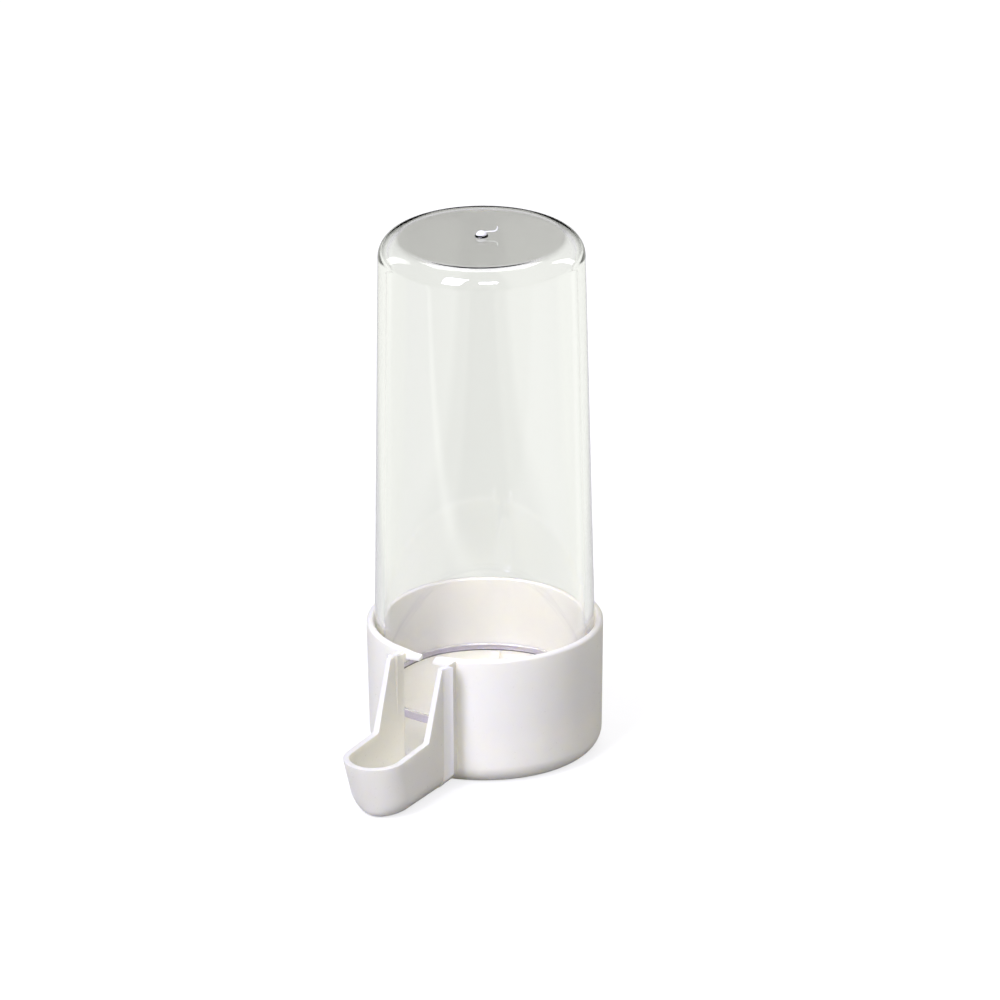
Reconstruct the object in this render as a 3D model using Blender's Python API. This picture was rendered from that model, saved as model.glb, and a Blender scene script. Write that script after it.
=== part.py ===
"""Siphon water dispenser for cage birds: a clear tube that stands in a base with a drinking spout.

Metres, +Z up. The origin is the middle of the base's underside, on the tube's axis, and the spout
points along -Y. The tube lifts straight up out of the base to be filled.
"""

import math

import bmesh
import bpy

# Base: a round cup whose bore holds the tube
BASE_HEIGHT = 0.0287
BASE_RIM_RADIUS = 0.0250
BASE_FOOT_RADIUS = 0.02445
FOOT_ROUND = 0.0043
RIM_ROUND = 0.0007
BORE_RIM_RADIUS = 0.02355
BORE_FLOOR_RADIUS = 0.02320
BORE_ROUND = 0.0030
BORE_LEAD_IN = 0.00035
FLOOR = 0.0018

# Seat ribs inside the base, which hold the tube's edge clear of the floor
RIB_ANGLES = (-114, -24, 24, 114)
RIB_WIDTH = 0.0016
RIB_REACH = 0.0013
RIB_ROOT = 0.0004
RIB_FOOT = 0.0022
SEAT_GAP = 0.0003

# Spout: a trough with a half-round nose, which leaves the base between two cheeks
SPOUT_HALF_WIDTH = 0.00675
SPOUT_WALL = 0.00135
SPOUT_FOOT = 0.0002
SPOUT_FLOOR = 0.0020
SPOUT_CORNER = 0.0046
SPOUT_BACK = 0.0180
CUP_RIM = 0.01315
RIM_TILT = math.radians(2.5)
NOSE_CENTRE = 0.04645
NOSE_LENGTH = 0.0067
NOSE_LEAN = 0.345
NOSE_TAPER = 0.06
NOSE_ROUND = 0.0014
CHEEK_TOP = 0.02855
CHEEK_REACH = 0.02975
CHEEK_FOOT = 0.0356
CHEEK_FILLET = 0.0005
CHEEK_DRAFT = 0.0225

# Barbs on the neck's flanks, which snap past two cage bars, and the hollow behind each barb
BARB_BACK = 0.02735
BARB_DRAFT = 0.00012
BARB_KNEE = 0.0280
BARB_FRONT = 0.0294
BARB_TIP_STEP = 0.00130
BARB_KNEE_STEP = 0.00066
BARB_RUN_OUT = 0.00135
HOLLOW_BACK = 0.02695
HOLLOW_FRONT = 0.0284
HOLLOW_STEP = 0.0005

# Window: the neck narrows to it, the wall is open, and the rim above ends in two pointed spurs
NECK_START = 0.0266
NECK_END = 0.0258
NECK_HALF = 0.0052
WINDOW_TOP = 0.0268
WINDOW_HALF = 0.00515
WINDOW_CORNER = 0.0030
WINDOW_SILL = 0.00005
WINDOW_FRONT = 0.0263
WINDOW_EDGE = 0.0252
WINDOW_INNER = 0.0214
WINDOW_SPLAY = 0.0022
NOTCH_BACK = 0.0220
NOTCH_FRONT = 0.0262
NOTCH_FOOT = 0.0273
NOTCH_RIM_HALF = 0.0053
SPUR_GAP_HALF = 0.0016
SPUR_UNDERSIDE = 0.0272
SPUR_ROOT_HALF = 0.0049
NOTCH_OVERLAP = 0.0010

# Tube: one clear moulding, closed at the top
TUBE_SEAT = 0.01235
TUBE_TOP = 0.1146
TUBE_WALL = 0.0019
TUBE_TOP_WALL = 0.00155
TUBE_RIM_RADIUS = 0.0232
TUBE_SHOULDER_RADIUS = 0.02175
TUBE_SHOULDER = 0.0045
TUBE_INNER_ROUND = 0.0029
TUBE_SKIRT_RADIUS = 0.0230
TUBE_EDGE_ROUND = 0.0003
TUBE_LIP = 0.0007
TUBE_LIP_HEIGHT = 0.00175
GATE_RADIUS = 0.0014
GATE_HEIGHT = 0.0004

SEGMENTS = 72
ROUND_STEPS = 5
SMALL_STEPS = 3
CORNER_STEPS = 6
NOSE_STEPS = 16
CLEAR = 0.02
AXIS_MERGE = 0.00001
SHARP_ANGLE = math.radians(35)


def clear_scene():
    for obj in list(bpy.data.objects):
        bpy.data.objects.remove(obj)


def plastic(name, colour, roughness, transmission=0.0, ior=1.5):
    material = bpy.data.materials.new(name)
    material.use_nodes = True
    shader = material.node_tree.nodes["Principled BSDF"]
    shader.inputs["Base Color"].default_value = (*colour, 1.0)
    shader.inputs["Roughness"].default_value = roughness
    shader.inputs["Metallic"].default_value = 0.0
    shader.inputs["Transmission Weight"].default_value = transmission
    shader.inputs["IOR"].default_value = ior
    return material


def add_object(name, mesh):
    obj = bpy.data.objects.new(name, mesh)
    bpy.context.scene.collection.objects.link(obj)
    return obj


def arc(centre, radius, start, end, steps=ROUND_STEPS):
    """Points of an arc in the plane, with its angles in degrees."""
    points = []
    for step in range(steps + 1):
        angle = math.radians(start + (end - start) * step / steps)
        points.append((centre[0] + radius * math.cos(angle), centre[1] + radius * math.sin(angle)))
    return points


def turned(name, profile):
    """A body turned about Z from (radius, height) points that run down its outer side."""
    mesh = bpy.data.meshes.new(name)
    edges = [(i, i + 1) for i in range(len(profile) - 1)]
    mesh.from_pydata([(radius, 0.0, height) for radius, height in profile], edges, [])
    obj = add_object(name, mesh)
    screw = obj.modifiers.new("turn", "SCREW")
    screw.axis = "Z"
    screw.steps = SEGMENTS
    screw.render_steps = SEGMENTS
    screw.use_merge_vertices = True
    screw.merge_threshold = AXIS_MERGE
    return obj


def lofted(name, rings):
    """A closed body through rings of points that each hold the same number, from bottom to top."""
    shape = bmesh.new()
    loops = [[shape.verts.new(point) for point in ring] for ring in rings]
    count = len(loops[0])
    for lower, upper in zip(loops, loops[1:]):
        for i in range(count):
            j = (i + 1) % count
            shape.faces.new((lower[i], lower[j], upper[j], upper[i]))
    shape.faces.new(loops[0])
    shape.faces.new(loops[-1])
    bmesh.ops.triangulate(shape, faces=shape.faces)
    bmesh.ops.recalc_face_normals(shape, faces=shape.faces)
    mesh = bpy.data.meshes.new(name)
    shape.to_mesh(mesh)
    shape.free()
    return add_object(name, mesh)


def combine(target, operation, tool):
    boolean = target.modifiers.new(tool.name, "BOOLEAN")
    boolean.operation = operation
    boolean.object = tool
    tool.hide_render = True
    tool.display_type = "WIRE"


def finish(obj, tools, material):
    """Makes the modifiers' result the object's own mesh, and removes the tools that shaped it."""
    graph = bpy.context.evaluated_depsgraph_get()
    mesh = bpy.data.meshes.new_from_object(obj.evaluated_get(graph))
    obj.modifiers.clear()
    obj.data = mesh
    mesh.name = obj.name
    mesh.materials.clear()
    mesh.materials.append(material)
    mesh.shade_smooth()
    mesh.set_sharp_from_angle(angle=SHARP_ANGLE)
    for tool in tools:
        bpy.data.objects.remove(tool)


def corner_inset(rise, radius):
    """How far a rounded bottom edge is drawn in at a height above the foot."""
    rise = min(max(rise, 0.0), radius)
    return radius - math.sqrt(radius**2 - (radius - rise) ** 2)


def base_cup():
    """The cup's profile, from the middle of its floor up the bore, over the rim and down outside."""
    lip = BASE_RIM_RADIUS - RIM_ROUND
    profile = [(0.0, FLOOR)]
    profile += arc((BORE_FLOOR_RADIUS - BORE_ROUND, FLOOR + BORE_ROUND), BORE_ROUND, -90, 0)
    profile.append((BORE_RIM_RADIUS, BASE_HEIGHT - BORE_LEAD_IN))
    profile.append((BORE_RIM_RADIUS + BORE_LEAD_IN, BASE_HEIGHT))
    profile += arc((lip, BASE_HEIGHT - RIM_ROUND), RIM_ROUND, 90, 0, SMALL_STEPS)
    profile += arc((BASE_FOOT_RADIUS - FOOT_ROUND, FOOT_ROUND), FOOT_ROUND, 0, -90)
    profile.append((0.0, 0.0))
    return turned("drinker_base", profile)


def wall_core():
    """The middle of the cup's wall and floor, which trims the spout's back end inside them."""
    half_wall = (BASE_RIM_RADIUS - BORE_RIM_RADIUS) / 2
    foot_radius = BASE_FOOT_RADIUS - half_wall
    profile = [(0.0, BASE_HEIGHT + CLEAR), (BASE_RIM_RADIUS - half_wall, BASE_HEIGHT + CLEAR)]
    profile.append((BASE_RIM_RADIUS - half_wall, BASE_HEIGHT))
    profile += arc((foot_radius - FOOT_ROUND, FLOOR / 2 + FOOT_ROUND), FOOT_ROUND, 0, -90)
    profile.append((0.0, FLOOR / 2))
    return turned("wall_core", profile)


def spout_ring(height, foot, inset, draft, jog):
    """One level of the spout's outline, drawn in by inset, with a barb or hollow on its flanks.

    Each point of the jog is a reach, with its steps sideways at the trough's rim and at the cheeks'
    top. The jog runs out round the bottom edge, and above the rim the flanks lean out by the draft.
    """
    drop = max(0.0, CUP_RIM - height)
    rise = max(0.0, height - CUP_RIM)
    side = corner_inset(height - foot, SPOUT_CORNER - inset)
    half = SPOUT_HALF_WIDTH - inset - side + draft * rise
    tip = NOSE_LENGTH - NOSE_TAPER * drop - inset - corner_inset(height - foot, NOSE_ROUND)
    centre = NOSE_CENTRE - NOSE_LEAN * drop
    kept = max(0.0, 1.0 - side / BARB_RUN_OUT)
    along = rise / (CHEEK_TOP - CUP_RIM)
    right = []
    for reach, low_step, high_step in jog:
        right.append((half + kept * (low_step + (high_step - low_step) * along), reach))
    nose = arc((0.0, 0.0), 1.0, 0, 180, NOSE_STEPS)
    outline = right + [(half * x, centre + tip * y) for x, y in nose]
    outline += [(-across, reach) for across, reach in reversed(right)]
    return [(across, -reach, height) for across, reach in outline]


def spout_levels(foot, radius, top):
    """Heights of the outline's levels: close together round the bottom edge, then straight up."""
    corner = arc((0.0, foot + radius), radius, -90, 0, CORNER_STEPS)
    return [height for _, height in corner] + [CUP_RIM, top]


def spout_body(name, foot, inset, top, draft, jog):
    levels = spout_levels(foot, SPOUT_CORNER - inset, top)
    return lofted(name, [spout_ring(height, foot, inset, draft, jog) for height in levels])


def side_cutter(name, outline, half_width):
    """A cutter with an outline of (reach, height) points seen from the side."""
    rings = []
    for across in (-half_width, half_width):
        rings.append([(across, -reach, height) for reach, height in outline])
    return lofted(name, rings)


def rim_height(reach):
    """Height of the trough's rim, which falls a little from the cheeks to the tip of the nose."""
    return CUP_RIM + (NOSE_CENTRE + NOSE_LENGTH - reach) * math.tan(RIM_TILT)


def cheek_fillet():
    """The small arc between a cheek's sloping edge and the trough's rim, seen from the side."""
    foot = rim_height(CHEEK_FOOT)
    lean = math.atan2(CHEEK_FOOT - CHEEK_REACH, CHEEK_TOP - foot)
    along = CHEEK_FILLET * math.tan((math.pi / 2 - lean - RIM_TILT) / 2)
    centre_reach = CHEEK_FOOT + along * math.cos(RIM_TILT) + CHEEK_FILLET * math.sin(RIM_TILT)
    centre_height = foot - along * math.sin(RIM_TILT) + CHEEK_FILLET * math.cos(RIM_TILT)
    start = 180 + math.degrees(lean)
    end = 270 - math.degrees(RIM_TILT)
    return arc((centre_reach, centre_height), CHEEK_FILLET, start, end, SMALL_STEPS)


def spout_shell():
    """The spout with its trough, cheeks and barbs, open at the back."""
    barb = [(SPOUT_BACK, 0.0, 0.0), (BARB_BACK, 0.0, 0.0)]
    barb.append((BARB_BACK + BARB_DRAFT, BARB_TIP_STEP, BARB_TIP_STEP))
    barb += [(BARB_KNEE, BARB_KNEE_STEP, BARB_KNEE_STEP), (BARB_FRONT, 0.0, 0.0)]
    shell = spout_body("spout_shell", SPOUT_FOOT, 0.0, CHEEK_TOP, 0.0, barb)

    low_step = NECK_HALF - SPOUT_HALF_WIDTH + SPOUT_WALL
    high_step = low_step - CHEEK_DRAFT * (CHEEK_TOP - CUP_RIM)
    inside = [(SPOUT_BACK, low_step, high_step), (NECK_END, low_step, high_step)]
    inside += [(NECK_START, 0.0, 0.0), (HOLLOW_BACK, 0.0, 0.0)]
    inside.append((HOLLOW_BACK + HOLLOW_STEP, 0.0, HOLLOW_STEP))
    inside += [(HOLLOW_FRONT - HOLLOW_STEP, 0.0, HOLLOW_STEP), (HOLLOW_FRONT, 0.0, 0.0)]
    trough_top = CHEEK_TOP + CLEAR
    trough = spout_body("trough", SPOUT_FLOOR, SPOUT_WALL, trough_top, CHEEK_DRAFT, inside)

    far_end = NOSE_CENTRE + NOSE_LENGTH + CLEAR
    slope = [(CHEEK_REACH, CHEEK_TOP)] + cheek_fillet()
    slope += [(far_end, rim_height(far_end)), (far_end, trough_top), (CHEEK_REACH, trough_top)]
    slope_cutter = side_cutter("cheek_slope", slope, SPOUT_HALF_WIDTH + CLEAR)
    core = wall_core()
    for cutter in (slope_cutter, trough, core):
        combine(shell, "DIFFERENCE", cutter)
    return shell, [slope_cutter, trough, core]


def window_cutter():
    """The opening through the cup's wall, wider inside so that water runs freely to the trough."""
    sill = SPOUT_FLOOR + WINDOW_SILL
    rings = []
    for height in spout_levels(sill, WINDOW_CORNER, WINDOW_TOP):
        half = WINDOW_HALF - corner_inset(height - sill, WINDOW_CORNER)
        right = [(half + WINDOW_SPLAY, SPOUT_BACK), (half + WINDOW_SPLAY, WINDOW_INNER)]
        right += [(half, WINDOW_EDGE), (half, WINDOW_FRONT)]
        outline = right + [(-across, reach) for across, reach in reversed(right)]
        rings.append([(across, -reach, height) for across, reach in outline])
    return lofted("window", rings)


def notch_cutter():
    """The notch in the rim above the window: waisted, it leaves a pointed spur on each side.

    Its sides are at the rim's height in the bore and dip outwards.
    """
    rings = []
    for reach, foot in ((NOTCH_BACK, BASE_HEIGHT), (NOTCH_FRONT, NOTCH_FOOT)):
        right = [(NOTCH_RIM_HALF, BASE_HEIGHT + CLEAR), (NOTCH_RIM_HALF, BASE_HEIGHT)]
        right += [(SPUR_GAP_HALF, foot), (SPUR_GAP_HALF, SPUR_UNDERSIDE)]
        right += [(SPUR_ROOT_HALF, WINDOW_TOP), (SPUR_ROOT_HALF, WINDOW_TOP - NOTCH_OVERLAP)]
        outline = right + [(-across, height) for across, height in reversed(right)]
        rings.append([(across, -reach, height) for across, height in outline])
    return lofted("notch", rings)


def seat_ribs():
    """Upright ribs that stand in the bore's corner and end just under the tube's edge."""
    shape = bmesh.new()
    outer = BORE_FLOOR_RADIUS + RIB_ROOT
    inner = BORE_FLOOR_RADIUS - RIB_REACH
    top = TUBE_SEAT - SEAT_GAP
    for angle in RIB_ANGLES:
        turn = math.radians(angle)
        corners = []
        for height in (RIB_FOOT, top):
            for radius, across in ((inner, -1), (outer, -1), (outer, 1), (inner, 1)):
                side = across * RIB_WIDTH / 2
                x = -radius * math.sin(turn) + side * math.cos(turn)
                y = radius * math.cos(turn) + side * math.sin(turn)
                corners.append(shape.verts.new((x, y, height)))
        lower, upper = corners[:4], corners[4:]
        shape.faces.new(lower)
        shape.faces.new(upper)
        for i in range(4):
            j = (i + 1) % 4
            shape.faces.new((lower[i], lower[j], upper[j], upper[i]))
    bmesh.ops.recalc_face_normals(shape, faces=shape.faces)
    mesh = bpy.data.meshes.new("seat_ribs")
    shape.to_mesh(mesh)
    shape.free()
    return add_object("seat_ribs", mesh)


def drinker_base():
    base = base_cup()
    shell, shell_tools = spout_shell()
    ribs = seat_ribs()
    window = window_cutter()
    notch = notch_cutter()
    combine(base, "UNION", shell)
    combine(base, "UNION", ribs)
    combine(base, "DIFFERENCE", window)
    combine(base, "DIFFERENCE", notch)
    finish(
        base,
        [shell, ribs, window, notch] + shell_tools,
        plastic("white_polystyrene", (0.80, 0.79, 0.74), 0.35),
    )
    return base


def water_tube():
    """The tube's profile in heights above its own lower edge, from the moulding gate down and round."""
    top = TUBE_TOP - TUBE_SEAT
    shoulder = top - TUBE_SHOULDER
    flat = TUBE_SHOULDER_RADIUS - TUBE_SHOULDER
    rim = BASE_HEIGHT - TUBE_SEAT
    profile = [(0.0, top + GATE_HEIGHT), (GATE_RADIUS, top + GATE_HEIGHT), (GATE_RADIUS, top)]
    profile += arc((flat, shoulder), TUBE_SHOULDER, 90, 0)
    profile.append((TUBE_RIM_RADIUS, rim))
    lower_edge = TUBE_SKIRT_RADIUS - TUBE_EDGE_ROUND
    profile += arc((lower_edge, TUBE_EDGE_ROUND), TUBE_EDGE_ROUND, 0, -90, SMALL_STEPS)
    lip = TUBE_SKIRT_RADIUS - TUBE_LIP
    profile += [(lip, 0.0), (lip, TUBE_LIP_HEIGHT)]
    profile.append((TUBE_SKIRT_RADIUS - TUBE_WALL, TUBE_LIP_HEIGHT))
    profile.append((TUBE_RIM_RADIUS - TUBE_WALL, rim))
    ceiling = top - TUBE_TOP_WALL
    inner_flat = TUBE_SHOULDER_RADIUS - TUBE_WALL - TUBE_INNER_ROUND
    profile += arc((inner_flat, ceiling - TUBE_INNER_ROUND), TUBE_INNER_ROUND, 0, 90)
    profile.append((0.0, ceiling))
    tube = turned("water_tube", profile)
    tube.location = (0.0, 0.0, TUBE_SEAT)
    finish(tube, [], plastic("clear_polystyrene", (0.93, 0.95, 0.94), 0.04, transmission=1.0, ior=1.59))
    return tube


clear_scene()
drinker_base()
water_tube()
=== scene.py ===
# %% [markdown]
# # A siphon water dispenser for cage birds
# A clear tube stands upside down in a round white cup, and a spout leads the water out to the
# bird. The measured solids of both mouldings come in first as a fixed frame. Every finer piece
# below is made in the same metres and in the same place, so that it can stand in for its solid.

# %% Load the measured solids
import math

import bmesh
import bpy
from mathutils import Matrix, Vector


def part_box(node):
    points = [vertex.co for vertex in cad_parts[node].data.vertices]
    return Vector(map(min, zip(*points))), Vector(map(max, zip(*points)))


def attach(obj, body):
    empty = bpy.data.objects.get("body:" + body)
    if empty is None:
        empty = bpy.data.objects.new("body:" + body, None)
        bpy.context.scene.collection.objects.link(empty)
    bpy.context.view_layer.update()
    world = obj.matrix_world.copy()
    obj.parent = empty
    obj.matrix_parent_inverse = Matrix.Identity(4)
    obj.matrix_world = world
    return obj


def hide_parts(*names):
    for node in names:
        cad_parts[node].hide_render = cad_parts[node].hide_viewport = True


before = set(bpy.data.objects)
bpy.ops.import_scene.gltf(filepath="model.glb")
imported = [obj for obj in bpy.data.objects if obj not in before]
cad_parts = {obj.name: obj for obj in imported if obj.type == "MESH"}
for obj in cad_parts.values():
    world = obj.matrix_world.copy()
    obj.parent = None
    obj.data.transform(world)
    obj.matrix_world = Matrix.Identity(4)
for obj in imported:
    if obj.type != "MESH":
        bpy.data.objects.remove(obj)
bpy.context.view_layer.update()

MM = 0.001
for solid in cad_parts:
    low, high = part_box(solid)
    print(solid, [round(value / MM, 2) for value in (*low, *high)])

# %% [markdown]
# ## The camera
# The photograph was taken with a long lens from the front right, a little above the object. The
# camera could be placed by eye, but its angles were fitted to the ellipses of the cup's rim and of
# the tube's top instead, so that outlines land within a few pixels of where the photograph has them.

# %% Camera
CAMERA_AZIMUTH = math.radians(30.0)
CAMERA_ELEVATION = math.radians(21.98)
CAMERA_ROLL = math.radians(0.51)
CAMERA_DISTANCE = 4.06
CAMERA_LENS = 692.8
CAMERA_REACH = 40.0
RIM_POINT = Vector((0.0, 0.0, 30.7 * MM))
IMAGE_RIGHT = 3.224 * MM
IMAGE_UP = 22.77 * MM

towards_camera = Vector((
    math.sin(CAMERA_AZIMUTH) * math.cos(CAMERA_ELEVATION),
    -math.cos(CAMERA_AZIMUTH) * math.cos(CAMERA_ELEVATION),
    math.sin(CAMERA_ELEVATION),
))
level_right = Vector((math.cos(CAMERA_AZIMUTH), math.sin(CAMERA_AZIMUTH), 0.0))
level_up = towards_camera.cross(level_right)
right = math.cos(CAMERA_ROLL) * level_right - math.sin(CAMERA_ROLL) * level_up
up = math.sin(CAMERA_ROLL) * level_right + math.cos(CAMERA_ROLL) * level_up
eye = RIM_POINT + CAMERA_DISTANCE * towards_camera
aim = RIM_POINT + IMAGE_RIGHT * right + IMAGE_UP * up
back = (eye - aim).normalized()
side = up.cross(back).normalized()
turn = Matrix((side, back.cross(side), back)).transposed()

bpy.ops.object.camera_add(location=eye)
camera = bpy.context.object
camera.name = "camera"
camera.rotation_euler = turn.to_euler()
camera.data.lens = CAMERA_LENS
camera.data.clip_end = CAMERA_REACH
bpy.context.scene.camera = camera
print("camera at", [round(value, 3) for value in eye])

# %% [markdown]
# ## Modelling helpers
# Both mouldings are modelled as one would by hand: a plane is merged to a point, the point is
# extruded along a profile, corners are bevelled, and the profile is spun or extruded. The helpers
# below only save typing. Each works in edit mode on the active piece, and picks points by place.

# %% Helpers: draw and pick
PICK_REACH = 0.02 * MM


def deselect_all():
    """Leaves edit mode and deselects every object."""
    if bpy.context.object and bpy.context.object.mode != "OBJECT":
        bpy.ops.object.mode_set(mode="OBJECT")
    bpy.ops.object.select_all(action="DESELECT")


def draw_line(name, points):
    """A new piece that is one line of points: a plane merged to a point, then extruded."""
    deselect_all()
    bpy.ops.mesh.primitive_plane_add(size=MM, location=(0.0, 0.0, 0.0))
    bpy.context.object.name = name
    bpy.ops.object.mode_set(mode="EDIT")
    bpy.ops.mesh.select_mode(type="VERT")
    bpy.ops.mesh.select_all(action="SELECT")
    bpy.ops.mesh.merge(type="CENTER")
    bpy.ops.transform.translate(value=points[0])
    for start, end in zip(points, points[1:]):
        step = Vector(end) - Vector(start)
        bpy.ops.mesh.extrude_region_move(TRANSFORM_OT_translate={"value": step})
    return bpy.context.object


def select_points(test):
    """Selects the points of the piece in edit mode that pass a test of their place."""
    bpy.ops.mesh.select_mode(type="VERT")
    bpy.ops.mesh.select_all(action="DESELECT")
    shape = bmesh.from_edit_mesh(bpy.context.object.data)
    for point in shape.verts:
        point.select_set(test(point.co))
    shape.select_flush_mode()
    bmesh.update_edit_mesh(bpy.context.object.data)


def near(place):
    """A test that picks the points at a place."""
    return lambda co: (co - Vector(place)).length < PICK_REACH


# %% Helpers: round, spin and close
MERGE_REACH = 0.005 * MM


def round_corner(place, radius, turn_degrees, segments):
    """Bevels one corner of a line to an arc of a radius; the line turns by an angle there."""
    select_points(near(place))
    offset = radius * math.tan(math.radians(turn_degrees) / 2)
    bpy.ops.mesh.bevel(offset=offset, segments=segments, affect="VERTICES", clamp_overlap=False)


def spin_round(steps):
    """Spins the line round the tube's axis and closes it to a solid."""
    bpy.ops.mesh.select_all(action="SELECT")
    bpy.ops.mesh.spin(steps=steps, angle=math.tau, center=(0, 0, 0), axis=(0, 0, 1))
    close_solid()


def close_solid():
    """Merges points that coincide, turns all faces outwards and leaves edit mode."""
    bpy.ops.mesh.select_all(action="SELECT")
    bpy.ops.mesh.remove_doubles(threshold=MERGE_REACH)
    bpy.ops.mesh.normals_make_consistent(inside=False)
    bpy.ops.object.mode_set(mode="OBJECT")


# %% Helpers: join, cut and measure
def apply_boolean(piece, operation, tool):
    """Joins or cuts a piece with a tool, then removes the tool."""
    deselect_all()
    bpy.context.view_layer.objects.active = piece
    piece.select_set(True)
    boolean = piece.modifiers.new(tool.name, "BOOLEAN")
    boolean.operation = operation
    boolean.object = tool
    boolean.solver = "EXACT"
    bpy.ops.object.modifier_apply(modifier=boolean.name)
    bpy.data.objects.remove(tool)


def report(piece):
    """Prints the triangles, size, volume and open edges of a piece; a solid has none open."""
    piece.data.calc_loop_triangles()
    size = [round(value / MM, 2) for value in piece.dimensions]
    shape = bmesh.new()
    shape.from_mesh(piece.data)
    volume = round(shape.calc_volume(signed=True) / MM**3, 1)
    open_edges = sum(not edge.is_manifold for edge in shape.edges)
    shape.free()
    print(piece.name, len(piece.data.loop_triangles), "triangles,", size, "mm,", volume, "mm3,",
          open_edges, "open edges")


# %% [markdown]
# ## The tube
# The tube is moulded in one shot from clear polystyrene: a core forms its slightly tapered inside
# and the top is fed through one small gate, whose mark stays in the middle. A turned profile fits,
# because every section of it is round. Its wall has a real thickness: the glassy bands at the
# tube's sides only appear when light crosses an outer and an inner surface.

# %% Tube measures
TUBE_SEAT = 12.35 * MM
TUBE_TOP = 114.6 * MM
TUBE_WALL = 1.9 * MM
TUBE_TOP_WALL = 1.55 * MM
TUBE_SHOULDER_RADIUS = 21.75 * MM
TUBE_SHOULDER_ROUND = 4.5 * MM
TUBE_INNER_ROUND = 2.9 * MM
TUBE_RIM_RADIUS = 23.2 * MM
TUBE_SKIRT_RADIUS = 23.0 * MM
TUBE_LIP = 0.7 * MM
TUBE_LIP_HEIGHT = 1.75 * MM
TUBE_EDGE_ROUND = 0.3 * MM
GATE_RADIUS = 1.4 * MM
GATE_HEIGHT = 0.4 * MM
GATE_ROUND = 0.3 * MM
CUP_HEIGHT = 28.7 * MM
ROUND_STEPS = 192
TUBE_SMOOTH = math.radians(32)
print("tube", round((TUBE_TOP - TUBE_SEAT) / MM, 2), "mm long")

# %% Tube: profile, rounded corners, spin
tube_profile = [
    (0.0, 0.0, TUBE_TOP + GATE_HEIGHT),
    (GATE_RADIUS, 0.0, TUBE_TOP + GATE_HEIGHT),
    (GATE_RADIUS, 0.0, TUBE_TOP),
    (TUBE_SHOULDER_RADIUS, 0.0, TUBE_TOP),
    (TUBE_RIM_RADIUS, 0.0, CUP_HEIGHT),
    (TUBE_SKIRT_RADIUS, 0.0, TUBE_SEAT),
    (TUBE_SKIRT_RADIUS - TUBE_LIP, 0.0, TUBE_SEAT),
    (TUBE_SKIRT_RADIUS - TUBE_LIP, 0.0, TUBE_SEAT + TUBE_LIP_HEIGHT),
    (TUBE_SKIRT_RADIUS - TUBE_WALL, 0.0, TUBE_SEAT + TUBE_LIP_HEIGHT),
    (TUBE_RIM_RADIUS - TUBE_WALL, 0.0, CUP_HEIGHT),
    (TUBE_SHOULDER_RADIUS - TUBE_WALL, 0.0, TUBE_TOP - TUBE_TOP_WALL),
    (0.0, 0.0, TUBE_TOP - TUBE_TOP_WALL),
]
tube = draw_line("clear_water_tube", tube_profile)
round_corner(tube_profile[1], GATE_ROUND, 90, 4)
round_corner(tube_profile[3], TUBE_SHOULDER_ROUND, 89, 16)
round_corner(tube_profile[5], TUBE_EDGE_ROUND, 90, 6)
round_corner(tube_profile[10], TUBE_INNER_ROUND, 89, 12)
spin_round(ROUND_STEPS)
bpy.ops.object.shade_smooth_by_angle(angle=TUBE_SMOOTH)
report(tube)

# %% [markdown]
# ## The torn gate
# When the moulding is broken off its runner, the plastic in the gate tears. It leaves a whitened
# pip on the gate's stub and a hair-thin thread that curls up beside it. The pip is half a sphere,
# squeezed to a ridge and roughened by moving its points a little. The thread could be a bent
# cylinder, but a line of points is easier to lead: turned to a curve it gets a round section, and
# then it is turned back to a mesh.

# %% Torn gate: pip
PIP_HALF = 1.15 * MM
PIP_DEPTH = 0.55
PIP_RISE = 0.8
PIP_SINK = 0.1 * MM
PIP_TEAR = 0.09 * MM
gate_top = TUBE_TOP + GATE_HEIGHT
deselect_all()
bpy.ops.mesh.primitive_ico_sphere_add(
    subdivisions=3, radius=PIP_HALF, location=(0, 0, gate_top))
pip = bpy.context.object
pip.name = "torn_gate_pip"
bpy.ops.object.transform_apply(location=True, rotation=True, scale=True)
bpy.ops.object.mode_set(mode="EDIT")
bpy.ops.mesh.select_all(action="SELECT")
bpy.ops.mesh.bisect(
    plane_co=(0, 0, gate_top - PIP_SINK), plane_no=(0, 0, 1), clear_inner=True, use_fill=True)
bpy.ops.mesh.select_all(action="SELECT")
bpy.ops.transform.resize(value=(1, PIP_DEPTH, PIP_RISE), center_override=(0, 0, gate_top))
select_points(lambda co: co.z > gate_top)
bpy.ops.transform.vertex_random(offset=PIP_TEAR, seed=5)
bpy.ops.mesh.select_all(action="SELECT")
bpy.ops.transform.rotate(
    value=-CAMERA_AZIMUTH, orient_axis="Z", center_override=(0, 0, gate_top))
close_solid()
report(pip)

# %% Torn gate: thread
THREAD_RADIUS = 0.13 * MM
TEAR_SMOOTH = math.radians(60)
# Millimetres to the right of the gate's middle, and above the gate.
thread_course = [
    (0.4, 0.5), (1.1, 0.62), (1.9, 0.72), (2.7, 0.75), (3.2, 0.98), (3.4, 1.4), (3.42, 1.75),
]
thread = draw_line("thread", [
    across * MM * level_right + Vector((0, 0, gate_top + rise * MM))
    for across, rise in thread_course
])
bpy.ops.mesh.select_all(action="SELECT")
bpy.ops.mesh.subdivide(number_cuts=3, smoothness=1.0)
bpy.ops.object.mode_set(mode="OBJECT")
bpy.ops.object.convert(target="CURVE")
thread.data.bevel_depth = THREAD_RADIUS
thread.data.bevel_resolution = 2
thread.data.use_fill_caps = True
bpy.ops.object.convert(target="MESH")
bpy.ops.object.mode_set(mode="EDIT")
close_solid()
report(thread)
apply_boolean(pip, "UNION", thread)
bpy.ops.object.shade_smooth_by_angle(angle=TEAR_SMOOTH)
report(pip)

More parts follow.
